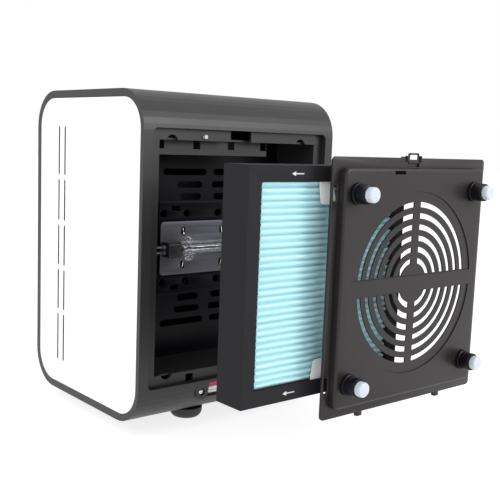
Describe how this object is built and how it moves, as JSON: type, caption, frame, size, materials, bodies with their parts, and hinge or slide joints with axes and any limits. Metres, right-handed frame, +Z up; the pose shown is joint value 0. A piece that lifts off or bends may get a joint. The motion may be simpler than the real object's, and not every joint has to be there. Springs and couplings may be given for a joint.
{
  "type": "air purifier",
  "caption": "Tabletop air purifier with a charcoal wrap-around shell, white slotted side panels, a rear germicidal lamp bay, its pleated filter drawn out and its round-grille rear cover off.",
  "frame": {"origin": "middle of the base of the whole object's box as it stands here: housing on its feet, drawn-out filter and rear cover", "axes": "+Z up; the open rear of the housing, with the lamp bay, faces +Y; the control panel faces -Y; +X to the side that has the lamp's leads"},
  "size_m": [0.3412, 0.4068, 0.352],
  "materials": {
    "shell_charcoal": "fine moulded satin texture",
    "panel_white": "smooth white, low gloss",
    "cover_charcoal": "satin with a soft sheen",
    "button_grey": "satin",
    "inner_black": "black, slightly glossy",
    "filter_card": "stiff board, matt",
    "pleat_media": "pleated fibre paper, pale cyan",
    "carbon_felt": "felt with carbon grains",
    "tab_white": "thin white non-woven ribbon",
    "reflector_steel": "brushed sheet",
    "bracket_steel": "zinc-plated",
    "bright_steel": "bright",
    "lamp_glass": "clear glass tube",
    "cap_soft_clear": "translucent, milky",
    "lens_clear": "frosted lens",
    "rubber_black": "matt rubber",
    "lead_grey": "soft insulation",
    "switch_black": "moulded",
    "plunger_white": "smooth",
    "board_green": "glass-fibre board",
    "label_red": "printed label, no lettering"
  },
  "bodies": {
    "housing": {"front_shell": "shell_charcoal", "rear_shell": "shell_charcoal", "side_panel_right": "panel_white", "side_panel_left": "panel_white", "chassis_plate": "inner_black", "lamp_cap_right": "inner_black", "lamp_cap_left": "inner_black", "lamp_ballast": "inner_black", "fan_inlet_ring": "inner_black", "control_panel": "inner_black", "power_inlet": "inner_black", "lamp_reflector": "reflector_steel", "motor_bracket": "bracket_steel", "fan_motor": "bracket_steel", "lamp_spring_1": "bright_steel", "lamp_spring_2": "bright_steel", "rear_screw_right": "bright_steel", "rear_screw_left": "bright_steel", "uv_lamp_tube": "lamp_glass", "indicator_lens": "lens_clear", "foot_rear_right": "rubber_black", "foot_rear_left": "rubber_black", "foot_front_right": "rubber_black", "foot_front_left": "rubber_black", "lamp_lead_1": "lead_grey", "lamp_lead_2": "lead_grey", "safety_switch": "switch_black", "control_board": "board_green", "rating_label": "label_red"},
    "filter": {"filter_frame": "filter_card", "filter_pleats": "pleat_media", "carbon_layer": "carbon_felt", "pull_tab_upper": "tab_white", "pull_tab_lower": "tab_white"},
    "cover": {"rear_cover": "cover_charcoal", "spacer_post_1": "inner_black", "spacer_post_2": "inner_black", "spacer_post_3": "inner_black", "spacer_post_4": "inner_black", "spacer_cap_1": "cap_soft_clear", "spacer_cap_2": "cap_soft_clear", "spacer_cap_3": "cap_soft_clear", "spacer_cap_4": "cap_soft_clear"},
    "latch": {"cover_latch": "cover_charcoal"},
    "fan": {"fan_wheel": "inner_black", "fan_shaft": "bright_steel"},
    "power_key": {"power_button": "button_grey"},
    "speed_key": {"speed_button": "button_grey"},
    "lamp_key": {"lamp_button": "button_grey"},
    "plunger": {"switch_plunger": "plunger_white"}
  },
  "joints": [
    {"name": "filter_slide", "type": "slide", "parent": "housing", "child": "filter", "axis": [0, 1, 0], "range_m": [-0.1395, 0]},
    {"name": "cover_slide", "type": "slide", "parent": "filter", "child": "cover", "axis": [-0.9818, 0.1265, -0.1417], "range_m": [-0.0988, 0]},
    {"name": "latch_press", "type": "slide", "parent": "cover", "child": "latch", "axis": [0, 0, 1], "range_m": [-0.003, 0], "stiffness_N_per_m": 600},
    {"name": "fan_spin", "type": "hinge", "parent": "housing", "child": "fan", "pos_m": [0.04255, -0.0878, 0.172], "axis": [0, 1, 0], "continuous": true},
    {"name": "power_press", "type": "slide", "parent": "housing", "child": "power_key", "axis": [0, 1, 0], "range_m": [0, 0.001], "stiffness_N_per_m": 400},
    {"name": "speed_press", "type": "slide", "parent": "housing", "child": "speed_key", "axis": [0, 1, 0], "range_m": [0, 0.001], "stiffness_N_per_m": 400},
    {"name": "lamp_press", "type": "slide", "parent": "housing", "child": "lamp_key", "axis": [0, 1, 0], "range_m": [0, 0.001], "stiffness_N_per_m": 400},
    {"name": "plunger_press", "type": "slide", "parent": "housing", "child": "plunger", "axis": [0, 1, 0], "range_m": [-0.0035, 0], "stiffness_N_per_m": 300}
  ]
}
